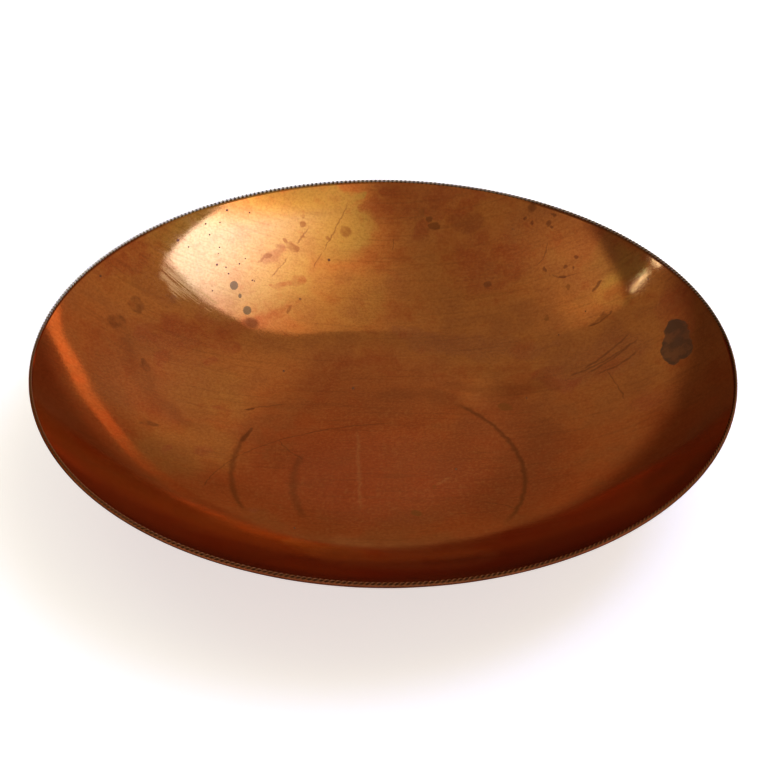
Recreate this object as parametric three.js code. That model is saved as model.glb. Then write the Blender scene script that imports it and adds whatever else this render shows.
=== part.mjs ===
// Copper serving bowl: one raised sheet, a twisted wire soldered along its lip,
// and a strip foot soldered under its floor. Millimetres, +Z up, the origin on the
// table at the middle of the foot.

import * as THREE from 'three';

// Driving dimensions, millimetres and degrees.
const mouthRadius = 148.6;        // inside of the sheet, at the lip
const bowlDepth = 43;             // inside, from the lip down to the middle of the floor
const floorRadius = 50;           // inside, where the shallow floor turns up into the wall
const floorEdgeSlope = 2;         // rise of the sheet where floor and wall meet
const sheetThickness = 1.2;
const rimWireDiameter = 1.5;      // over both twisted strands
const footRadius = 64;            // middle of the strip's top edge
const footFlare = 2.5;            // how far the strip leans out on its way down
const footStripThickness = 1.5;
const footFlangeWidth = 3.5;      // the turned-out hem that the bowl stands on
const footFlangeThickness = 1.5;
const footClearance = 8;          // from the table up to the underside of the floor
const solderLeg = 1.6;            // legs of the solder fillet round the foot
const jointGap = 0.3;             // left between pieces that solder joins

// How finely the round shapes are cut.
const turnSteps = 96;
const floorSteps = 6;
const wallSteps = 16;
const wireSides = 10;

// The sheet's inside is two arcs that meet without a corner: a shallow floor arc
// centred on the axis, and a tighter wall arc that ends at the lip.
const floorSlope = THREE.MathUtils.degToRad(floorEdgeSlope);
const floorRise = floorRadius * Math.tan(floorSlope / 2);
const wallChordSlope = Math.atan((bowlDepth - floorRise) / (mouthRadius - floorRadius));
const lipSlope = 2 * wallChordSlope - floorSlope;
const floorArcRadius = floorRadius / Math.sin(floorSlope);
const wallArcRadius = (mouthRadius - floorRadius) / (Math.sin(lipSlope) - Math.sin(floorSlope));

const floorHeight = footClearance + sheetThickness;
const lipHeight = floorHeight + bowlDepth;

const floorArc = { across: 0, up: floorHeight + floorArcRadius };
const wallArc = {
  across: floorRadius - wallArcRadius * Math.sin(floorSlope),
  up: floorHeight + floorRise + wallArcRadius * Math.cos(floorSlope),
};

// The underside runs one sheet thickness outside the inside arcs.
const outerFloorRadius = floorArcRadius + sheetThickness;
const outerWallRadius = wallArcRadius + sheetThickness;
const outerLipSlope = Math.acos((wallArc.up - lipHeight) / outerWallRadius);
const outerLipRadius = wallArc.across + outerWallRadius * Math.sin(outerLipSlope);

const copper = new THREE.MeshStandardMaterial({ color: 0xa4582c, roughness: 0.22, metalness: 1 });
const darkCopper = new THREE.MeshStandardMaterial({ color: 0x7a3d1e, roughness: 0.35, metalness: 1 });
const solder = new THREE.MeshStandardMaterial({ color: 0xa89c84, roughness: 0.45, metalness: 1 });

// Points along an arc, from one slope of the sheet to another.
function arcPoints(centre, radius, fromSlope, toSlope, steps) {
  const points = [];
  for (let step = 0; step <= steps; step += 1) {
    const slope = fromSlope + ((toSlope - fromSlope) * step) / steps;
    points.push(new THREE.Vector2(
      centre.across + radius * Math.sin(slope),
      centre.up - radius * Math.cos(slope),
    ));
  }
  return points;
}

// Height of the sheet's underside at a distance from the axis.
function undersideHeight(across) {
  const onFloor = across < outerFloorRadius * Math.sin(floorSlope);
  const centre = onFloor ? floorArc : wallArc;
  const radius = onFloor ? outerFloorRadius : outerWallRadius;
  const sideways = across - centre.across;
  return centre.up - Math.sqrt(radius * radius - sideways * sideways);
}

// A turned piece, from its section: distance from the axis, and height.
function turned(name, section, material) {
  const geometry = new THREE.LatheGeometry(section, turnSteps);
  geometry.rotateX(Math.PI / 2);
  const mesh = new THREE.Mesh(geometry, material);
  mesh.name = name;
  return mesh;
}

function closed(section) {
  return [...section, section[0].clone()];
}

// The bowl itself: sheet copper raised to a wide round form, its lip filed flat.
function bowlBody() {
  const inside = [
    ...arcPoints(floorArc, floorArcRadius, 0, floorSlope, floorSteps),
    ...arcPoints(wallArc, wallArcRadius, floorSlope, lipSlope, wallSteps).slice(1),
  ];
  const underside = [
    ...arcPoints(floorArc, outerFloorRadius, 0, floorSlope, floorSteps),
    ...arcPoints(wallArc, outerWallRadius, floorSlope, outerLipSlope, wallSteps).slice(1),
  ];
  return turned('bowl_body', [...underside, ...inside.reverse()], copper);
}

// Two strands twisted together and soldered on the flat of the lip, drawn as the
// round cord that they fill.
function rimWire() {
  const wireRadius = rimWireDiameter / 2;
  const across = (mouthRadius + outerLipRadius) / 2;
  const up = lipHeight + jointGap + wireRadius;
  const section = [];
  for (let side = 0; side < wireSides; side += 1) {
    const angle = (2 * Math.PI * (side + 0.5)) / wireSides;
    section.push(new THREE.Vector2(
      across + wireRadius * Math.sin(angle),
      up - wireRadius * Math.cos(angle),
    ));
  }
  return turned('rim_wire', closed(section), darkCopper);
}

// Where the foot strip's faces lie: its top follows the underside, its bottom is
// the table.
const stripTopInner = footRadius - footStripThickness / 2;
const stripTopOuter = footRadius + footStripThickness / 2;
const stripTopHeight = undersideHeight(stripTopOuter) - jointGap;

// Distance that the strip has leaned out by at a height.
function leanAt(height) {
  return (footFlare * (stripTopHeight - height)) / stripTopHeight;
}

// A strip bent to a ring, leaning out, with a flat hem turned out to stand on.
function footRing() {
  const hemInner = stripTopInner + footFlare;
  const hemOuter = hemInner + footFlangeWidth;
  const section = [
    new THREE.Vector2(hemInner, 0),
    new THREE.Vector2(hemOuter, 0),
    new THREE.Vector2(hemOuter, footFlangeThickness),
    new THREE.Vector2(stripTopOuter + leanAt(footFlangeThickness), footFlangeThickness),
    new THREE.Vector2(stripTopOuter, stripTopHeight),
    new THREE.Vector2(stripTopInner, undersideHeight(stripTopInner) - jointGap),
  ];
  return turned('foot_ring', closed(section), copper);
}

// Solder run round the outside of the joint between foot and bowl.
function footSolder() {
  const inner = stripTopOuter + jointGap;
  const outer = inner + solderLeg;
  const innerTop = undersideHeight(inner) - jointGap;
  const innerBottom = innerTop - solderLeg;
  const section = [
    new THREE.Vector2(inner + leanAt(innerBottom), innerBottom),
    new THREE.Vector2(outer, undersideHeight(outer) - jointGap),
    new THREE.Vector2(inner, innerTop),
  ];
  return turned('foot_solder', closed(section), solder);
}

const servingBowl = new THREE.Group();
servingBowl.add(bowlBody(), rimWire(), footRing(), footSolder());

export default servingBowl;
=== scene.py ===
import math

import bpy
import numpy as np
from mathutils import Matrix, Quaternion, Vector


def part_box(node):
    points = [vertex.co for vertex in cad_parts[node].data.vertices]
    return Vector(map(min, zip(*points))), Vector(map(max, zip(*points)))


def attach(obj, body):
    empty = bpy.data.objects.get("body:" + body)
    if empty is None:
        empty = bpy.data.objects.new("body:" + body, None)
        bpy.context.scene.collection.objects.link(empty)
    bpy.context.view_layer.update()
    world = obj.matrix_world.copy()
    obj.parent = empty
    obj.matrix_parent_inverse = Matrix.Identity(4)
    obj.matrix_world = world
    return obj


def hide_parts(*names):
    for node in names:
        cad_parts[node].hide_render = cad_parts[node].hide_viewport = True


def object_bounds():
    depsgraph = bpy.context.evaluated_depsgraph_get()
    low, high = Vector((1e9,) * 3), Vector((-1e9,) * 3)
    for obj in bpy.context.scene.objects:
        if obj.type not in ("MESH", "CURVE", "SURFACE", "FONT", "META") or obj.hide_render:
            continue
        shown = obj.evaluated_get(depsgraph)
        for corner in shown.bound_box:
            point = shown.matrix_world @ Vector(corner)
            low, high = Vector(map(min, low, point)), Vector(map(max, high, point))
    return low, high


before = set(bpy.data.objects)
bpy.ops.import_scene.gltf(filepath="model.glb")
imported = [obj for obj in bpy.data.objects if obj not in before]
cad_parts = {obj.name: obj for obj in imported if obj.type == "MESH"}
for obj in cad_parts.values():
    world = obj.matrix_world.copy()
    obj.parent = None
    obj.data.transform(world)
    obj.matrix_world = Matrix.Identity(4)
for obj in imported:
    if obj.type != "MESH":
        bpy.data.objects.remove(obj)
cad_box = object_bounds()

# The camera looks down into the bowl at 34 degrees from a little over five rim radii away,
# held a little out of level. The rim's circle then has the outline of the real rim.
picture = 768
camera_lens = 84.72
camera_sensor = 36
camera_elevation = math.radians(34.335)
camera_roll = math.radians(0.70)
rim_radius = cad_box[1].x
rim_radii_away = 5.16
camera_distance = rim_radii_away * rim_radius
wire_low, wire_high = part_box("rim_wire")
rim_height = (wire_low.z + wire_high.z) / 2
aim_right = 0.0004
aim_nearer = 0.0245
aim = Vector((aim_right, -aim_nearer, rim_height))

bpy.ops.object.camera_add()
camera = bpy.context.object
camera.name = "camera"
camera.data.lens = camera_lens
camera.data.sensor_width = camera_sensor
camera.location = (
    0,
    -camera_distance * math.cos(camera_elevation),
    rim_height + camera_distance * math.sin(camera_elevation),
)
level_turn = (aim - camera.location).to_track_quat("-Z", "Y")
camera.rotation_mode = "QUATERNION"
camera.rotation_quaternion = level_turn @ Quaternion((0, 0, 1), camera_roll)
bpy.context.scene.camera = camera
bpy.context.scene.view_settings.view_transform = "Standard"


# The bowl: a disc of sheet copper, hammered up to a wide round form, then hammered smooth and polished.
# Its inside is two arcs that meet without a corner, and its lip is filed flat for the wire.
body_low, body_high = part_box("bowl_body")
sheet_thickness = 0.0012
mouth_radius = 0.1486
floor_radius = 0.050
floor_edge_slope = math.radians(2)
turn_steps = 288
floor_steps = 24
wall_steps = 64
crease_angle = math.radians(40)
unevenness_size = 0.06
unevenness_depth = 0.00025

lip_height = body_high.z
floor_height = body_low.z + sheet_thickness
bowl_depth = lip_height - floor_height
floor_rise = floor_radius * math.tan(floor_edge_slope / 2)
lip_slope = 2 * math.atan((bowl_depth - floor_rise) / (mouth_radius - floor_radius)) - floor_edge_slope
floor_arc_radius = floor_radius / math.sin(floor_edge_slope)
wall_arc_radius = (mouth_radius - floor_radius) / (math.sin(lip_slope) - math.sin(floor_edge_slope))
floor_arc_centre = (0, floor_height + floor_arc_radius)
wall_arc_centre = (
    floor_radius - wall_arc_radius * math.sin(floor_edge_slope),
    floor_height + floor_rise + wall_arc_radius * math.cos(floor_edge_slope),
)
outer_wall_radius = wall_arc_radius + sheet_thickness
outer_lip_slope = math.acos((wall_arc_centre[1] - lip_height) / outer_wall_radius)


def arc_points(centre, radius, start, end, steps):
    """Points of the turned section along an arc, from one slope of the sheet to another."""
    slopes = [start + (end - start) * step / steps for step in range(steps + 1)]
    return [Vector((centre[0] + radius * math.sin(s), 0, centre[1] - radius * math.cos(s))) for s in slopes]


def turned(name, section, steps):
    """A turned piece: its section drawn point by point, and spun round the bowl's axis."""
    start_size = 0.001
    merge_reach = 0.000002
    bpy.ops.object.select_all(action="DESELECT")
    bpy.ops.mesh.primitive_plane_add(size=start_size, location=(0, 0, 0))
    piece = bpy.context.object
    piece.name = name
    piece.data.name = name
    bpy.ops.object.mode_set(mode="EDIT")
    bpy.ops.mesh.select_all(action="SELECT")
    bpy.ops.mesh.merge(type="CENTER")
    bpy.ops.transform.translate(value=section[0])
    for here, onward in zip(section, section[1:]):
        bpy.ops.mesh.extrude_region_move(TRANSFORM_OT_translate={"value": onward - here})
    bpy.ops.mesh.select_all(action="SELECT")
    bpy.ops.mesh.spin(steps=steps, angle=2 * math.pi, center=(0, 0, 0), axis=(0, 0, 1))
    bpy.ops.mesh.select_all(action="SELECT")
    bpy.ops.mesh.remove_doubles(threshold=merge_reach)
    bpy.ops.mesh.normals_make_consistent(inside=False)
    bpy.ops.object.mode_set(mode="OBJECT")
    return piece


outer_floor_radius = floor_arc_radius + sheet_thickness
floor_inside = arc_points(floor_arc_centre, floor_arc_radius, 0, floor_edge_slope, floor_steps)
wall_inside = arc_points(wall_arc_centre, wall_arc_radius, floor_edge_slope, lip_slope, wall_steps)
floor_under = arc_points(floor_arc_centre, outer_floor_radius, 0, floor_edge_slope, floor_steps)
wall_under = arc_points(wall_arc_centre, outer_wall_radius, floor_edge_slope, outer_lip_slope, wall_steps)
body_section = floor_under + wall_under[1:] + (floor_inside + wall_inside[1:])[::-1]
bowl = turned("copper_bowl", body_section, turn_steps)

# Hammered sheet is never quite true: both faces wander together by a tenth of a millimetre.
unevenness = bpy.data.textures.new("unevenness", "CLOUDS")
unevenness.noise_scale = unevenness_size
bpy.ops.object.modifier_add(type="DISPLACE")
wander = bowl.modifiers[-1]
wander.texture = unevenness
wander.texture_coords = "LOCAL"
wander.direction = "Z"
wander.strength = unevenness_depth
bpy.ops.object.modifier_apply(modifier=wander.name)
bpy.ops.object.shade_smooth_by_angle(angle=crease_angle)


class Wire:
    """A socket of a material's nodes. Arithmetic on it adds Math nodes."""

    def __init__(self, tree, socket=None):
        self.tree = tree
        self.socket = socket

    def node(self, kind, settings=None, inputs=None, output=0):
        """Adds a node: its settings first, then the values or links of its sockets."""
        new = self.tree.nodes.new(kind)
        for name, value in (settings or {}).items():
            setattr(new, name, value)
        for name, value in (inputs or {}).items():
            if isinstance(value, Wire):
                self.tree.links.new(value.socket, new.inputs[name])
            else:
                new.inputs[name].default_value = value
        return Wire(self.tree, new.outputs[output])

    def part(self, name):
        """Another output of the node that this socket is on."""
        return Wire(self.tree, self.socket.node.outputs[name])

    def into(self, socket):
        """Joins this onto a socket of the shader."""
        self.tree.links.new(self.socket, socket)

    def math(self, operation, *values):
        return self.node("ShaderNodeMath", {"operation": operation}, dict(enumerate(values)))

    def vector_math(self, operation, inputs, output=0):
        """The same for places: their sums, products, lengths and distances."""
        return self.node("ShaderNodeVectorMath", {"operation": operation}, inputs, output)

    def __add__(self, other):
        return self.math("ADD", self, other)

    __radd__ = __add__

    def __sub__(self, other):
        return self.math("SUBTRACT", self, other)

    def __rsub__(self, other):
        return self.math("SUBTRACT", other, self)

    def __mul__(self, other):
        return self.math("MULTIPLY", self, other)

    __rmul__ = __mul__

    def __abs__(self):
        return self.math("ABSOLUTE", self)

    def larger(self, other):
        return self.math("MAXIMUM", self, other)

    def step(self, low, high):
        """0 below low and 1 above high, smooth between; the other way round if low is higher."""
        ends = {"Value": self, "From Min": low, "From Max": high}
        settings = {"interpolation_type": "SMOOTHSTEP", "clamp": False}
        return self.node("ShaderNodeMapRange", settings, ends)

    def noise(self, place, size, detail=3, roughness=0.5):
        """Clouds of that size."""
        sockets = {"Vector": place, "Scale": 1 / size, "Detail": detail, "Roughness": roughness}
        return self.node("ShaderNodeTexNoise", {}, sockets)

    def mix(self, share, first, second):
        """One colour turning into another."""
        sockets = {0: share, 6: first, 7: second}
        return self.node("ShaderNodeMix", {"data_type": "RGBA"}, sockets, output=2)


def material(name):
    """A new material, with its Principled shader and a Wire to build on."""
    made = bpy.data.materials.new(name)
    made.use_nodes = True
    return made, made.node_tree.nodes["Principled BSDF"], Wire(made.node_tree)


def seen_at(across, down):
    """The place on the bowl's inside that lies under a pixel of the 768 pixel picture."""
    per_pixel = camera_sensor / camera_lens / picture
    sight = Vector(((across - picture / 2) * per_pixel, (picture / 2 - down) * per_pixel, -1))
    sight = camera.rotation_quaternion @ sight
    hit, place, _, _ = bowl.ray_cast(camera.location, sight)
    if not hit:
        raise ValueError(f"pixel {across}, {down} misses the bowl")
    return np.array(place[:2])


def away_from(flat, place):
    """How far the surface lies from a place on the plan."""
    return flat.vector_math("DISTANCE", {0: flat, 1: (place[0], place[1], 0)}, "Value")


def stain(flat, across, down, width, height, turn=0, edge=0.35):
    """An oval mark, by the pixels of its middle and of its half width and height. Its border is where the
    distances to two points on its long axis add up to its length."""
    middle = seen_at(across, down)
    tilt = math.radians(turn)
    along = seen_at(across + width * math.cos(tilt), down - width * math.sin(tilt)) - middle
    aside = seen_at(across + height * math.sin(tilt), down + height * math.cos(tilt)) - middle
    axes, (long, short), _ = np.linalg.svd(np.column_stack([along, aside]))
    spread = math.sqrt(long ** 2 - short ** 2)
    total = sum(away_from(flat, middle + side * spread * axes[:, 0]) for side in (-1, 1))
    return total.step(2 * (long + edge * (long - spread)), 2 * (long - edge * (long - spread)))


def stroke(flat, start, middle, end, width, edge):
    """A curved line through three pixels, with its half width in metres, fading at its ends."""
    first, second, third = (seen_at(*pixel) for pixel in (start, middle, end))
    sides = 2 * np.array([second - first, third - first])
    squares = [second @ second - first @ first, third @ third - first @ first]
    centre = np.linalg.solve(sides, squares)
    radius = np.linalg.norm(first - centre)
    line = abs(away_from(flat, centre) - radius).step(width * (1 + edge), width * 0.1)
    reach = max(np.linalg.norm(first - second), np.linalg.norm(third - second))
    return line * away_from(flat, second).step(reach, reach * 0.75)


def strongest(masks):
    """The strongest of several masks, each joined on as soon as it is made."""
    masks = iter(masks)
    found = next(masks)
    for mask in masks:
        found = found.larger(mask)
    return found


# Marks on the inside, as pixels of the picture: middle, half width, half height and turn.
grey_drops = (
    (234, 285.5, 4.1, 4.4, 0),
    (247.2, 310.4, 4.1, 4.3, 0),
    (240, 295.8, 1.7, 2.3, 0),
)
brown_blots = (
    (292.2, 247.2, 7.2, 4.4, -28),
    (286, 242, 4, 1.6, -50),
    (267.6, 255.8, 5, 3, 20),
    (261, 260.5, 4.5, 1.6, 40),
    (302.6, 224.3, 3.2, 3.3, 0),
    (302.6, 236.6, 2.2, 1.5, 20),
    (302.9, 216.2, 1.6, 2.3, 0),
    (346.2, 231.7, 5.2, 5.7, 0),
    (327.8, 238.6, 2, 1.8, 0),
    (289.5, 309.5, 5, 1.8, 60),
    (300.3, 299, 2.2, 1.5, 0),
    (422, 213, 3, 3.5, 0),
    (434.5, 486.5, 2.2, 2.8, 0),
    (505, 407, 8, 4, -10),
    (417, 513, 5, 3, 0),
    (546.4, 318.2, 2.2, 2.6, 0),
    (567.8, 287.3, 2, 3, 0),
)
dark_blots = (
    (251.5, 323, 6.5, 5, -20),
    (434, 226, 6, 3.6, -15),
    (429, 219, 3, 2.6, 0),
    (532.5, 207, 4, 5, -40),
    (548.7, 223.3, 2.6, 3.2, -20),
    (552, 226.5, 1.8, 1.6, 0),
    (554, 214, 3.5, 1.8, -30),
    (525, 218, 2, 1.6, 0),
    (532, 222.5, 1.8, 2, 0),
    (544.9, 269.2, 1.6, 2.6, 20),
    (576.2, 257.8, 2.3, 1.8, 0),
    (572.4, 267, 1.2, 2, 0),
    (565.5, 267, 2, 2.4, 0),
    (562.5, 276.6, 3.2, 1.3, 0),
    (597, 286, 7.5, 1.5, 48),
    (487.5, 284.5, 4, 2.6, 15),
    (247.5, 434.5, 9.5, 2.4, 50),
    (249.5, 409, 6, 1, 8),
)
smudges = (
    (136.7, 304.6, 7, 8, 0),
    (117.5, 321, 10, 7, -10),
    (143.7, 364.3, 8, 4, -50),
    (147.6, 423, 9, 3, -8),
    (170.5, 297.5, 6, 4, -30),
    (602, 318, 13, 2, 30),
)
dots = (
    (205.7, 223.8, 1.1),
    (209.6, 234.7, 1),
    (178, 240.3, 1.6),
    (188.6, 247, 0.9),
    (217, 264.6, 1.3),
    (226, 267.4, 0.9),
    (228.6, 273.6, 1),
    (239.4, 263.8, 1),
    (219.5, 247.3, 0.9),
    (218.3, 253.5, 0.7),
    (245.4, 258.6, 0.8),
    (252.4, 280.3, 1),
    (254.4, 281, 0.8),
    (227, 210.2, 1.3),
    (249.6, 212.6, 0.9),
    (220, 222.4, 0.9),
    (212.4, 290.8, 0.9),
    (329, 260, 1.6),
    (300, 299, 1),
    (353.2, 388.2, 1.6),
    (283.7, 370.9, 1.3),
    (456, 469, 1.2),
    (294.5, 528, 1.2),
    (526.5, 398, 1),
    (648.2, 279.2, 1),
    (585.4, 311.3, 0.9),
    (558.6, 334.8, 0.9),
    (512.7, 229, 0.8),
    (100.5, 276, 1.4),
)
patch_lobes = (
    (677, 333, 12.5, 14, 0),
    (677.5, 346, 15.5, 14, 0),
    (671, 353, 10, 12.5, 20),
)
ring_left = ((253, 427), (231.5, 470), (242, 508))
ring_right = ((478, 415), (519.5, 457.5), (502.5, 525.5))
inner_ring = ((303, 452), (293, 487), (301, 513))
scratches = (
    ((236.5, 457), (268, 444), (297.8, 435.6)),
    ((202.5, 488), (219, 469), (240, 455)),
    ((297.8, 435.6), (344, 427), (393, 423)),
    ((244, 410.4), (264, 406.5), (284, 404.5)),
    ((349, 202), (335.5, 228), (323, 252)),
    ((323, 252), (318, 259.5), (313.5, 266.2)),
    ((308, 228), (303, 236), (296, 243.5)),
    ((288, 257), (279.5, 267.5), (271, 277.7)),
    ((547, 242.5), (544.5, 255), (538, 264)),
    ((551, 275), (564, 277), (578, 272)),
    ((611, 376), (617, 385), (626, 400)),
    ((478, 501), (498, 504), (517, 508.5)),
    ((281, 443.5), (290, 451), (307, 461.6)),
    ((393.8, 238.6), (393.5, 245), (392, 251.3)),
)
rubbed_lines = (
    ((630, 333), (607, 353), (582, 370)),
    ((636, 340), (612, 359), (588, 373)),
    ((638, 350), (618, 365), (594, 374)),
    ((628, 346), (604, 361), (566, 377)),
    ((588, 326), (601, 321), (613, 311)),
)
red_smears = (
    ((341, 365), (319, 400), (295, 436)),
    ((300, 292), (235, 330), (165, 352)),
    ((400, 361), (370, 361), (338, 368)),
)
pale_streaks = (
    ((357, 428), (359, 470), (360, 511)),
    ((438, 484), (444, 481), (452, 477)),
)
brown_sweeps = (
    ((448, 384), (500, 392), (560, 372)),
    ((380, 392), (430, 396), (478, 414)),
    ((118, 326), (147, 386), (168, 412)),
)

# Broad films of oxide on the copper, as pixels too.
red_areas = (
    (379, 477, 85, 44, 0),
    (190, 333, 58, 12, 10),
    (405, 214, 48, 12, 4),
    (430, 236, 16, 8, 0),
    (440, 200, 60, 14, 0),
    (485, 266, 34, 26, 0),
    (507, 251, 9, 8, 0),
    (216, 346, 16, 8, 0),
    (165, 361, 9, 14, 0),
    (292, 281, 20, 5, 18),
    (556, 379, 22, 9, -10),
    (646, 404, 22, 12, 20),
    (680, 314, 18, 30, 15),
    (120, 262, 30, 16, 30),
    (207, 452, 8, 6, 0),
    (169, 455, 8, 6, 0),
    (213, 367, 9, 5, 10),
    (256, 512, 8, 4, 0),
    (226, 409, 10, 4, 0),
)
brown_areas = (
    (150, 375, 60, 45, 0),
    (560, 250, 60, 40, 0),
    (470, 345, 90, 12, 0),
    (600, 360, 50, 20, 30),
    (270, 256, 12, 8, 30),
)
brass_areas = (
    (240, 262, 80, 52, 0),
    (310, 200, 60, 14, 5),
    (318, 226, 54, 32, 0),
    (620, 262, 30, 26, 0),
)
golden_areas = (
    (186, 446, 56, 26, 0),
    (568, 268, 28, 24, 0),
    (604, 296, 22, 16, 0),
    (210, 400, 42, 26, 0),
    (330, 300, 60, 26, 0),
)
dim_areas = (
    (505, 462, 62, 60, 0),
    (467, 224, 18, 12, 0),
    (378, 386, 84, 36, 0),
)
floor_area = (390, 478, 120, 62, 0)
near_right_area = (676, 450, 34, 56, -25)
near_pale_area = (392, 556, 110, 14, 0)
grit_area = (184, 288, 34, 9, -40)
grit_line = ((160, 262), (215, 307))

copper_red = (0.430, 0.080, 0.022, 1)
copper_gold = (0.490, 0.155, 0.040, 1)
copper_brass = (0.460, 0.232, 0.056, 1)
copper_pale = (0.560, 0.250, 0.100, 1)
copper_deep = (0.350, 0.054, 0.013, 1)
copper_brown = (0.350, 0.098, 0.030, 1)
copper_near = (0.370, 0.112, 0.050, 1)
copper_dim = (0.270, 0.052, 0.018, 1)
copper_shade = (0.200, 0.062, 0.034, 1)
tarnish = (0.150, 0.037, 0.012, 1)
grey_stain = (0.230, 0.115, 0.036, 1)
patch_stain = (0.110, 0.042, 0.018, 1)
rust_stain = (0.250, 0.075, 0.018, 1)
inside_sheen = (0.850, 0.620, 0.480, 1)

inside_finish, shader, wire = material("polished_copper_inside")
place = wire.node("ShaderNodeTexCoord", output="Object")
flat_place = wire.vector_math("MULTIPLY", {0: place, 1: (1, 1, 0)})


def frayed(size, reach):
    """The flat place moved a little by clouds of that size, so that marks get ragged edges."""
    shift = wire.noise(place, size).part("Color")
    shift = wire.vector_math("SUBTRACT", {0: shift, 1: (0.5, 0.5, 0.5)})
    shift = wire.vector_math("SCALE", {0: shift, "Scale": reach})
    return wire.vector_math("ADD", {0: flat_place, 1: shift})


def film(areas):
    """Broad areas with soft and cloudy borders."""
    return strongest(stain(spread, *area, edge=0.8) for area in areas)


worn = frayed(0.004, 0.0026)
torn = frayed(0.006, 0.0075)
spread = frayed(0.020, 0.024)

# Clouds of oxide over the polish: red on the floor and near the viewer, golden at the back.
broad_size = 0.075
cloud_size = 0.022
mottle_size = 0.0065
grain_size = 0.0012
to_back = (0.15, 0.98, 0)
broad = wire.noise(place, broad_size, 4, 0.55)
cloud = wire.noise(place, cloud_size, 5, 0.6)
mottle = wire.noise(place, mottle_size, 4, 0.65)
grain = wire.noise(place, grain_size, 3, 0.8)
backward = wire.vector_math("DOT_PRODUCT", {0: flat_place, 1: to_back}, "Value")
gold = (backward + 0.09 * (broad - 0.5)).step(-0.03, 0.07)
colour = wire.mix(gold, copper_red, copper_gold)
brass = film(brass_areas)
colour = wire.mix(brass * 0.9, colour, copper_brass)
colour = wire.mix(film(golden_areas) * 0.35, colour, copper_brass)

# The near wall was handled most: its film is thicker, brownest at the right and palest in the middle.
# It begins at a distance from a place at the back, in metres.
back_place = (0, 0.138)
near_start = (0.206, 0.238)
near_wall = (away_from(flat_place, back_place) + 0.010 * (cloud - 0.5)).step(*near_start)
colour = wire.mix(near_wall * 0.85, colour, copper_near)
colour = wire.mix(near_wall * film([near_right_area]) * 0.9, colour, copper_shade)
colour = wire.mix(near_wall * film([near_pale_area]) * 0.7, colour, copper_pale)
browns = film(brown_areas)
colour = wire.mix(browns * 0.55, colour, copper_brown)
colour = wire.mix(cloud.step(0.44, 0.66) * (0.55 - 0.25 * brass), colour, copper_brown)
colour = wire.mix(cloud.step(0.50, 0.34) * (0.40 - 0.34 * brass), colour, copper_deep)
reds = film(red_areas)
smears = strongest(stroke(spread, *line, 0.0026, 1.2) for line in red_smears)
patchy = 0.35 + 0.65 * mottle.step(0.36, 0.58)
colour = wire.mix((reds * 0.55).larger(smears * 0.5) * patchy, colour, copper_deep)
colour = wire.mix(film(dim_areas) * 0.5, colour, copper_dim)
colour = wire.mix(film([floor_area]) * 0.25, colour, copper_dim)
colour = wire.mix(broad.step(0.50, 0.32) * 0.20, colour, tarnish)
colour = wire.mix(mottle.step(0.50, 0.72) * 0.22, colour, copper_brown)
colour = wire.mix(mottle.step(0.46, 0.30) * 0.22, colour, copper_deep)
colour = wire.mix(grain.step(0.47, 0.62) * 0.20, colour, tarnish)
colour = wire.mix(grain.step(0.49, 0.38) * 0.16, colour, copper_pale)

# Wiping marks run across the bowl, and finer ones cross them: noise of size 1, stretched by a mapping.
wipe_turn = (0, 0, 0.18)
wipes_per_metre = (9, 150, 40)
wipe_sockets = {"Vector": place, "Rotation": wipe_turn, "Scale": wipes_per_metre}
wiped = wire.noise(wire.node("ShaderNodeMapping", {}, wipe_sockets), 1, 4)
colour = wire.mix(wiped.step(0.52, 0.78) * 0.10, colour, tarnish)
hair_turn = (0, 0, -0.55)
hairs_per_metre = (28, 620, 60)
hair_sockets = {"Vector": place, "Rotation": hair_turn, "Scale": hairs_per_metre}
hairs = wire.noise(wire.node("ShaderNodeMapping", {}, hair_sockets), 1, 3)
colour = wire.mix(hairs.step(0.54, 0.70) * 0.16, colour, tarnish)

pale = strongest(stroke(worn, *line, 0.0005, 1.8) for line in pale_streaks)
colour = wire.mix(pale * 0.16, colour, copper_pale)
sweeps = strongest(stroke(spread, *line, 0.0028, 1.4) for line in brown_sweeps)
colour = wire.mix(sweeps * 0.26, colour, tarnish)

rings = strongest([
    stroke(worn, *ring_left, 0.0008, 1.8) * 0.62,
    stroke(worn, *ring_right, 0.0007, 1.6) * 0.72,
    stroke(worn, *inner_ring, 0.0011, 1.6) * 0.42,
])
colour = wire.mix(rings, colour, tarnish)
lines = strongest(stroke(worn, *line, 0.00016, 1.8) for line in scratches) * 0.55
rubbed = strongest(stroke(worn, *line, 0.00024, 2.4) for line in rubbed_lines) * 0.6
colour = wire.mix(lines.larger(rubbed), colour, tarnish)

blots = strongest(stain(worn, *blot, edge=0.4) for blot in brown_blots) * patchy
colour = wire.mix(blots * 0.75, colour, rust_stain)
darks = strongest(stain(worn, *blot, edge=0.6) for blot in dark_blots)
colour = wire.mix(darks * 0.62, colour, tarnish)
smudged = strongest(stain(torn, *blot, edge=0.7) for blot in smudges) * patchy
colour = wire.mix(smudged * 0.56, colour, tarnish)
drops = strongest(stain(flat_place, *drop, edge=0.14) for drop in grey_drops)
patch = strongest(stain(worn, *lobe, edge=0.12) for lobe in patch_lobes)
patch_film = patch * (0.74 + 0.24 * mottle.step(0.60, 0.42))
colour = wire.mix(drops * 0.9, colour, grey_stain)
colour = wire.mix(patch_film, colour, patch_stain)
sharp_part = 0.85
specks = strongest(
    stain(flat_place, across, down, half * sharp_part, half * sharp_part, edge=0.3)
    for across, down, half in dots)
colour = wire.mix(specks * 0.95, colour, tarnish)

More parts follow.
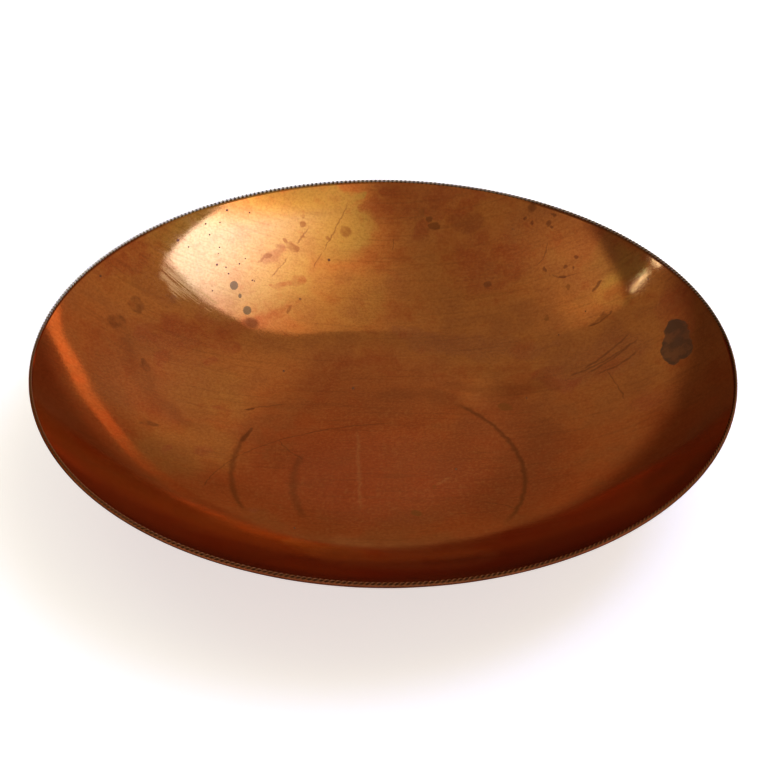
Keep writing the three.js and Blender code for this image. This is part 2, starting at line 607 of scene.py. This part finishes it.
# Beside the brightest part the wall is rubbed with grit, in fine lines that all run one way.
grit_start, grit_end = (seen_at(*pixel) for pixel in grit_line)
grit_turn = math.atan2(grit_end[1] - grit_start[1], grit_end[0] - grit_start[0])
grit_size = (0.030, 0.0009, 0.030)
grit_sockets = {"Vector": place, "Rotation": (0, 0, grit_turn), "Scale": grit_size}
grit_place = wire.node("ShaderNodeMapping", {"vector_type": "TEXTURE"}, grit_sockets)
grit_lines = wire.noise(grit_place, 1, 3)
gritted = film([grit_area])
grit = gritted * grit_lines.step(0.40, 0.62)
colour = wire.mix(grit * 0.45, colour, copper_brass)
colour = wire.mix(gritted * grit_lines.step(0.50, 0.30) * 0.35, colour, rust_stain)

dull = strongest([darks * 0.6, drops, patch * 0.7, blots * 0.4, rings * 0.3, specks, smudged * 0.4])
roughness = 0.055 + 0.05 * cloud.step(0.4, 0.7) + 0.05 * wiped.step(0.5, 0.75) + 0.20 * dull + 0.16 * grit
roughness = roughness + 0.08 * near_wall
metallic = 0.96 - 0.10 * reds - 0.10 * browns - 0.45 * drops - 0.35 * patch - 0.6 * specks
bump_strength = 0.05
bump_depth = 0.0004
height = 0.35 * wiped + 0.3 * grain
bump_sockets = {"Height": height, "Strength": bump_strength, "Distance": bump_depth}
bump = wire.node("ShaderNodeBump", {}, bump_sockets)
colour.into(shader.inputs["Base Color"])
roughness.into(shader.inputs["Roughness"])
metallic.into(shader.inputs["Metallic"])
bump.into(shader.inputs["Normal"])
shader.inputs["Specular Tint"].default_value = inside_sheen

# The outside and the foot were never polished as bright, and have gone brown.
outside_red = (0.240, 0.056, 0.020, 1)
outside_brown = (0.210, 0.068, 0.026, 1)
outside_sheen = (0.500, 0.280, 0.180, 1)
outside_broad_size = 0.060
outside_cloud_size = 0.012
outside_finish, shader, wire = material("aged_copper_outside")
place = wire.node("ShaderNodeTexCoord", output="Object")
broad = wire.noise(place, outside_broad_size, 4, 0.55)
cloud = wire.noise(place, outside_cloud_size, 5, 0.6)
colour = wire.mix(broad.step(0.35, 0.65), outside_red, outside_brown)
colour = wire.mix(cloud.step(0.48, 0.72) * 0.5, colour, tarnish)
roughness = 0.26 + 0.14 * cloud.step(0.4, 0.7)
colour.into(shader.inputs["Base Color"])
roughness.into(shader.inputs["Roughness"])
shader.inputs["Metallic"].default_value = 1
shader.inputs["Specular Tint"].default_value = outside_sheen

bowl.data.materials.append(inside_finish)
bowl.data.materials.append(outside_finish)
for face in bowl.data.polygons:
    face.material_index = 0 if face.normal.z > 0 else 1
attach(bowl, "root")
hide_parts("bowl_body")


# The rim wire: two strands of drawn copper twisted together, bent to a ring, and soldered along the lip.
# The strands are 0.75 mm thick, and their lay gives a crest every 2.1 mm round the rim.
rope_turns = 222
strand_radius = 0.000375
strand_gap = 0.00002
rope_radius = wire_high.x - (wire_high.z - wire_low.z) / 2
rope_length = 2 * math.pi * rope_radius
strand_sides = 8
steps_per_turn = 12
rope_merge_reach = 0.00002

bpy.ops.object.select_all(action="DESELECT")
strands = []
for side in (-1, 1):
    bpy.ops.mesh.primitive_circle_add(
        vertices=strand_sides, radius=strand_radius,
        location=(0, side * (strand_radius + strand_gap), 0),
        rotation=(0, math.radians(90), 0))
    strands.append(bpy.context.object)
for strand in strands:
    strand.select_set(True)
bpy.ops.object.join()
rope = bpy.context.object
rope.name = "twisted_rim_wire"
rope.data.name = "twisted_rim_wire"
bpy.ops.object.transform_apply(location=True, rotation=True, scale=True)
bpy.ops.object.modifier_add(type="SCREW")
lay = rope.modifiers[-1]
lay.axis = "X"
lay.angle = -2 * math.pi
lay.screw_offset = rope_length / rope_turns
lay.iterations = rope_turns
lay.steps = steps_per_turn
lay.render_steps = steps_per_turn
bpy.ops.object.modifier_apply(modifier=lay.name)
bpy.ops.object.modifier_add(type="SIMPLE_DEFORM")
bend = rope.modifiers[-1]
bend.deform_method = "BEND"
bend.deform_axis = "Z"
bend.angle = 2 * math.pi
bpy.ops.object.modifier_apply(modifier=bend.name)
bpy.ops.object.mode_set(mode="EDIT")
bpy.ops.mesh.select_all(action="SELECT")
bpy.ops.mesh.remove_doubles(threshold=rope_merge_reach)
corners = [Vector(corner) for corner in rope.bound_box]
middle = sum(corners, Vector()) / len(corners)
bpy.ops.transform.translate(value=Vector((0, 0, rim_height)) - middle)
bpy.ops.mesh.normals_make_consistent(inside=False)
bpy.ops.object.mode_set(mode="OBJECT")
bpy.ops.object.shade_smooth()

# The wire is brown at the sides and the front. Its grooves carry painted shade, near black at the back, and
# are filled with tarnish at the front; its crests at the back carry a painted highlight.
# The first three colours are painted light: the highlight in two tints, and the shade between, for the
# crests at the back.
wire_painted_highlight = (1.000, 0.960, 0.880, 1)
wire_right_painted_highlight = (0.560, 0.400, 0.280, 1)
wire_far_painted_shade = (0.090, 0.042, 0.015, 1)
wire_side = (0.240, 0.130, 0.060, 1)
wire_front = (0.200, 0.070, 0.026, 1)
# Painted shade for the grooves at the back, then the tarnish that fills them at the front.
wire_groove_shade = (0.018, 0.009, 0.005, 1)
wire_filled = (0.150, 0.056, 0.022, 1)
wire_sheen = (0.600, 0.360, 0.240, 1)
groove_depth = 0.00048
crest_height = 0.00068
painted_highlight_turn = math.radians(146)
wire_finish, shader, wire = material("twisted_copper_wire")
place = wire.node("ShaderNodeTexCoord", output="Object")
flat_place = wire.vector_math("MULTIPLY", {0: place, 1: (1, 1, 0)})
rightward = wire.node("ShaderNodeSeparateXYZ", {}, {0: place})
backward = rightward.part("Y")
upward = rightward.part("Z") - rim_height
outward = wire.vector_math("LENGTH", {0: flat_place}, "Value") - rope_radius
from_core = wire.math("SQRT", outward * outward + upward * upward)
crest = from_core.step(groove_depth, crest_height)
colour = wire.mix(backward.step(0.04, -0.06), wire_side, wire_front)
groove_tarnish_and_shade = wire.mix(backward.step(-0.04, 0.06), wire_filled, wire_groove_shade)
colour = wire.mix(crest, groove_tarnish_and_shade, colour)

# On the far half the wire carries painted light: a painted highlight on each crest where the eye meets it,
# at one and the same angle of its strand's turn, white on the left and browner on the right, with painted
# shade between the crests.
turn = wire.math("ARCTAN2", rightward, 0 - backward)
painted_highlight_beat = wire.math("COSINE", turn * (2 * rope_turns) - 2 * painted_highlight_turn)
painted_crest_highlight = painted_highlight_beat.step(-0.45, 0.15)
painted_highlight_colour = wire.mix(rightward.step(-0.06, 0.04), wire_painted_highlight, wire_right_painted_highlight)
far_painted_crests = backward.step(0, 0.07)
colour = wire.mix(far_painted_crests, colour, wire.mix(painted_crest_highlight, wire_far_painted_shade, painted_highlight_colour))
roughness = 0.45 - 0.17 * crest
# Where the painted highlight lies the wire is not metal, so the highlight shows under any light and from
# every side.
metallic = 1 - far_painted_crests * painted_crest_highlight
colour.into(shader.inputs["Base Color"])
roughness.into(shader.inputs["Roughness"])
metallic.into(shader.inputs["Metallic"])
shader.inputs["Specular Tint"].default_value = wire_sheen
rope.data.materials.append(wire_finish)
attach(rope, "root")
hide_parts("rim_wire")


# Solder that holds the wire: it fills the narrow joint on the lip and creeps a little up both sides.
# It has taken the colours of the copper beside it, inside and outside.
solder_width = 0.0010
solder_inward = 0.00088
solder_sunk = 0.00002
solder_shoulder = 0.00042
solder_shoulder_drop = 0.00034
solder_steps = 192

solder_low = lip_height - solder_sunk
solder_top = rim_height - strand_radius
solder_section = [
    Vector((rope_radius - solder_inward, 0, solder_low)),
    Vector((rope_radius + solder_width / 2, 0, solder_low)),
    Vector((rope_radius + solder_width / 4, 0, solder_top)),
    Vector((rope_radius - solder_shoulder, 0, rim_height - solder_shoulder_drop)),
    Vector((rope_radius - solder_inward, 0, solder_low)),
]
rim_solder = turned("rim_solder", solder_section, solder_steps)
bpy.ops.object.shade_smooth_by_angle(angle=crease_angle)
rim_solder.data.materials.append(inside_finish)
rim_solder.data.materials.append(outside_finish)
for face in rim_solder.data.polygons:
    looks_out = face.center.x * face.normal.x + face.center.y * face.normal.y >= 0
    face.material_index = 1 if looks_out else 0
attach(rim_solder, "root")


# The foot: a strip of copper bent to a ring that leans out, with a hem turned out at its bottom to stand on.
# Its ends meet in a brazed seam, and the ring is soldered under the floor.
foot_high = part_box("foot_ring")[1]
foot_strip = 0.0015
foot_flare = 0.0025
hem_width = 0.0035
hem_thickness = 0.0015
hem_outer = foot_high.x
hem_inner = hem_outer - hem_width
strip_inner = hem_inner - foot_flare
strip_outer = strip_inner + foot_strip
strip_top = foot_high.z
edge_round = 0.0003
foot_steps = 192
foot_crease_angle = math.radians(35)
lean = foot_flare * (strip_top - hem_thickness) / strip_top
foot_section = [
    Vector((hem_inner + edge_round, 0, 0)),
    Vector((hem_outer - edge_round, 0, 0)),
    Vector((hem_outer, 0, edge_round)),
    Vector((hem_outer, 0, hem_thickness - edge_round)),
    Vector((hem_outer - edge_round, 0, hem_thickness)),
    Vector((strip_outer + lean + 2 * edge_round, 0, hem_thickness)),
    Vector((strip_outer + lean, 0, hem_thickness + 2 * edge_round)),
    Vector((strip_outer, 0, strip_top)),
    Vector((strip_inner, 0, strip_top - edge_round / 2)),
    Vector((hem_inner - edge_round / 2, 0, hem_thickness)),
    Vector((hem_inner, 0, edge_round)),
    Vector((hem_inner + edge_round, 0, 0)),
]
foot = turned("foot_ring_strip", foot_section, foot_steps)
bpy.ops.object.shade_smooth_by_angle(angle=foot_crease_angle)
foot.data.materials.append(outside_finish)
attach(foot, "root")
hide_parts("foot_ring")


# Solder run round the outside of the joint between foot and bowl, hollowed as solder draws itself.
# It is grey and dull.
fillet_low, fillet_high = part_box("foot_solder")
fillet_bite = 0.0003
fillet_sunk = 0.0002
fillet_steps = 6
fillet_crease_angle = math.radians(50)
solder_pale = (0.300, 0.240, 0.160, 1)
solder_dark = (0.090, 0.060, 0.040, 1)
solder_cloud_size = 0.004

fillet_inner = strip_outer + fillet_bite
fillet_leg = fillet_high.x - fillet_inner
fillet_rise = fillet_high.z - fillet_low.z
inner_corner = Vector((fillet_inner, 0, fillet_high.z - fillet_sunk))
hollow_centre = Vector((fillet_high.x, 0, fillet_low.z))
fillet_section = [inner_corner]
for step in range(fillet_steps + 1):
    swing = math.radians(180 - 90 * step / fillet_steps)
    away = Vector((fillet_leg * math.cos(swing), 0, fillet_rise * math.sin(swing)))
    fillet_section.append(hollow_centre + away)
fillet_section.append(inner_corner)
fillet = turned("foot_solder_fillet", fillet_section, foot_steps)
bpy.ops.object.shade_smooth_by_angle(angle=fillet_crease_angle)
solder_finish, shader, wire = material("dull_solder")
place = wire.node("ShaderNodeTexCoord", output="Object")
cloud = wire.noise(place, solder_cloud_size, 4, 0.6)
colour = wire.mix(cloud.step(0.35, 0.7), solder_pale, solder_dark)
colour.into(shader.inputs["Base Color"])
shader.inputs["Metallic"].default_value = 1
shader.inputs["Roughness"].default_value = 0.45
fillet.data.materials.append(solder_finish)
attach(fillet, "root")
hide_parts("foot_solder")


# The studio: a plain white floor that glows a little, under a pale tent that darkens towards the horizon.
# The bowl's polished wall mirrors all of it.
tent_radius = 6
tent_sides = 64
tent_rings = 32
tent_foot = -0.01
tent_colour = (1.04, 0.95, 0.66, 1)
lamp_colour = (0.76, 1.04, 2.40, 1)
horizon_colour = (1.35, 0.95, 0.66, 1)
tent_level = 0.43
tent_right = 0.16
horizon_level = 0.115
horizon_rise = 0.06
horizon_middle = 0.11
horizon_softness = 0.09
horizon_climb = 0.49
horizon_lean = -0.13
back_level = 0.22
back_middle = (0.23, 0.75, 0.62)
back_size = 0.34
floor_sides = 96
floor_colour = (0.88, 0.86, 0.90, 1)
floor_light = (1, 1, 1, 1)
floor_lift = 0.62

bpy.ops.object.select_all(action="DESELECT")
bpy.ops.mesh.primitive_circle_add(
    vertices=floor_sides, radius=tent_radius, fill_type="NGON", location=(0, 0, 0))
floor = bpy.context.object
floor.name = "floor"
floor_finish, shader, wire = material("white_floor")
shader.inputs["Base Color"].default_value = floor_colour
shader.inputs["Roughness"].default_value = 0.9
shader.inputs["Emission Color"].default_value = floor_light
straight = wire.node("ShaderNodeLightPath", output="Is Camera Ray")
seen = straight + straight.part("Is Glossy Ray") + straight.part("Is Transmission Ray")
lift = floor_lift * seen
lift.into(shader.inputs["Emission Strength"])
floor.data.materials.append(floor_finish)


def glow(name, colour, level_of):
    """A plain glowing surface. The function gives, from the Object coordinates, its level, a share of a
    second colour, and that colour."""
    made, shader, wire = material(name)
    x = wire.node("ShaderNodeSeparateXYZ", {}, {0: wire.node("ShaderNodeTexCoord", output="Object")})
    level, share, second = level_of(x, x.part("Y"), x.part("Z"))
    shade = wire.mix(share, colour, second)
    lamp = wire.node("ShaderNodeEmission", {}, {"Color": shade, "Strength": level})
    lamp.into(wire.tree.nodes["Material Output"].inputs["Surface"])
    return made


def tent_glow(x, y, z):
    """Pale above a soft edge that climbs to both sides, darker and warmer below it, with a glow behind."""
    x, y, z = (part * (1 / tent_radius) for part in (x, y, z))
    edge = z - horizon_climb * abs(x) - horizon_lean * x
    above = edge.step(horizon_middle - horizon_softness, horizon_middle + horizon_softness)
    below = horizon_level + horizon_rise * x.step(-0.4, 0.4)
    offsets = [part - middle for part, middle in zip((x, y, z), back_middle)]
    away = x.math("SQRT", offsets[0] * offsets[0] + offsets[1] * offsets[1] + offsets[2] * offsets[2])
    behind = back_level * away.step(back_size, 0.4 * back_size)
    right = tent_right * x.step(0.10, 0.60)
    return below + (tent_level - below + behind + right) * above, 1 - above, horizon_colour


bpy.ops.mesh.primitive_uv_sphere_add(
    segments=tent_sides, ring_count=tent_rings, radius=tent_radius, location=(0, 0, 0))
tent = bpy.context.object
tent.name = "tent"
bpy.ops.object.mode_set(mode="EDIT")
bpy.ops.mesh.select_all(action="SELECT")
bpy.ops.mesh.bisect(plane_co=(0, 0, tent_foot), plane_no=(0, 0, 1), clear_inner=True)
bpy.ops.object.mode_set(mode="OBJECT")
tent.data.materials.append(glow("tent_cloth", tent_colour, tent_glow))
tent.visible_camera = False


def panel(name, corners, colour, level_of):
    """A flat light panel, by its corners."""
    mesh = bpy.data.meshes.new(name)
    mesh.from_pydata(corners, [], [tuple(range(len(corners)))])
    made = bpy.data.objects.new(name, mesh)
    bpy.context.scene.collection.objects.link(made)
    made.data.materials.append(glow(name + "_cloth", colour, level_of))
    made.visible_camera = False
    return made


def on_ceiling(places, height):
    """Corners at a height above the table, from places given as shares of that height."""
    return [(across * height, back * height, height) for across, back in places]


def mirrored(pixels, height):
    """Corners at a height above the table, whose images in the wall lie under pixels of the picture."""
    corners = []
    for pixel in pixels:
        x, y = seen_at(*pixel)
        from_axis = math.hypot(x, y)
        outward = from_axis - wall_arc_centre[0]
        upward = math.sqrt(wall_arc_radius ** 2 - outward ** 2)
        place = Vector((x, y, wall_arc_centre[1] - upward))
        normal = Vector((-outward * x / from_axis, -outward * y / from_axis, upward)).normalized()
        ray = (place - camera.location).reflect(normal)
        onward = place + ray * (height - place.z) / ray.z
        corners.append(tuple(onward))
    return corners


# The soft light overhead on the right, brightest towards its right-hand end, and weaker at its near and far
# sides. The edge of its image in the wall is the edge of the bright patch.
ceiling = 2.5
overhead_level = 3.9
overhead_near = 0.80
overhead_start = ((0.60, -0.42),)
overhead_end = ((-0.12, 0.655), (-0.16, -0.50))
patch_edge = (
    (225, 205.6),
    (207.8, 216.8),
    (191.1, 229.5),
    (177.5, 244.2),
    (165.4, 260.9),
    (177.4, 273.6),
    (195.2, 291.1),
    (207.2, 302.4),
    (240.1, 318.5),
    (298.1, 334.4),
)


def overhead_glow(x, y, z):
    """Rises towards the right in the middle, and sooner but less at the near side."""
    x, y = (part * (1 / ceiling) for part in (x, y))
    main = overhead_level * x.step(-0.13, 0.74) * (1 - 0.32 * y.step(0.10, 0.50))
    near = overhead_near * x.step(-0.02, 0.22)
    inward = y.step(-0.42, -0.08)
    warm = x.step(0.62, 0.10).larger(y.step(0.02, -0.30))
    return tent_level + main * inward + near * (1 - inward), warm, tent_colour


overhead_corners = on_ceiling(overhead_start, ceiling)
overhead_corners += mirrored(patch_edge, ceiling)
overhead_corners += on_ceiling(overhead_end, ceiling)
panel("overhead_light", overhead_corners, lamp_colour, overhead_glow)

# The left side glows a little, and ends in a dark cloth.
left_height = ceiling - 0.01
left_level = 0.44
dark_level = 0.18
left_outline = (
    (-0.25, -0.45),
    (-0.25, 0.62),
    (-0.80, 0.62),
    (-0.88, 0.53),
    (-1.25, 0.43),
    (-1.70, 0.30),
    (-1.70, -0.45),
)


def left_glow(x, y, z):
    """A soft rise, strongest at the far side, then a fall into the dark."""
    x, y = (part * (1 / ceiling) for part in (x, y))
    lit = x.step(-0.25, -0.70) * y.step(-0.28, 0.16)
    lit = lit * y.step(0.80, 0.42)
    dark = x.step(-0.79, -0.90)
    return (tent_level + left_level * lit) * (1 - dark) + dark_level * dark, dark, horizon_colour


panel("left_light", on_ceiling(left_outline, left_height), tent_colour, left_glow)

# Two small lights border the dark cloth, and show as a glint at the right of the wall.
glint_height = ceiling - 0.04
glint_level = 6.0
glint_colour = (0.80, 1.60, 2.80, 1)
glint_pixels = (
    (631.5, 291),
    (633.1, 291.8),
    (641, 282.1),
    (648.4, 271.9),
    (647.8, 270.3),
    (639.7, 280.6),
)
glint_end_pixels = (
    (648.7, 255.1),
    (654.1, 258.6),
    (658.9, 260.1),
    (661.9, 262.9),
    (660.2, 264.8),
    (656.7, 267.8),
)


def glint_glow(x, y, z):
    """The same all over."""
    return glint_level, 0, glint_colour


panel("left_glint", mirrored(glint_pixels, glint_height), glint_colour, glint_glow)
panel("left_glint_end", mirrored(glint_end_pixels, glint_height), glint_colour, glint_glow)

# A low strip of warm light that rises from the back to the right, and shows as a streak at the left of the
# wall. Its middle line is in degrees: round from the back to the right, and up.
strip_middle = (
    (4, 9.5),
    (9, 12),
    (14, 14.5),
    (18, 16.5),
    (22, 18),
    (26, 19),
    (30, 20),
    (34, 20.3),
    (38, 19.7),
    (43, 20.3),
    (49, 22),
    (54, 23),
)
strip_half = 1.9
strip_distance = 3
strip_colour = (1.35, 1.00, 0.60, 1)
strip_level = 0.92
strip_start = 0.25
strip_fade = (0.2, 1.6)


def low_place(azimuth, elevation):
    """A point in that direction from the bowl."""
    turn, rise = math.radians(azimuth), math.radians(elevation)
    return (
        strip_distance * math.sin(turn) * math.cos(rise),
        strip_distance * math.cos(turn) * math.cos(rise),
        rim_height + strip_distance * math.sin(rise),
    )


def strip_glow(x, y, z):
    """Fades towards its end at the back."""
    return strip_start + strip_level * x.step(*strip_fade), 0, strip_colour


strip_edge = [low_place(turn, rise - strip_half) for turn, rise in strip_middle]
strip_edge += [low_place(turn, rise + strip_half) for turn, rise in strip_middle[::-1]]
panel("low_strip", strip_edge, strip_colour, strip_glow)

# Beyond the tent all is white.
world = bpy.data.worlds.new("white_surroundings")
bpy.context.scene.world = world
world.use_nodes = True
backdrop = world.node_tree.nodes["Background"]
backdrop.inputs["Color"].default_value = (1, 1, 1, 1)
backdrop.inputs["Strength"].default_value = 1
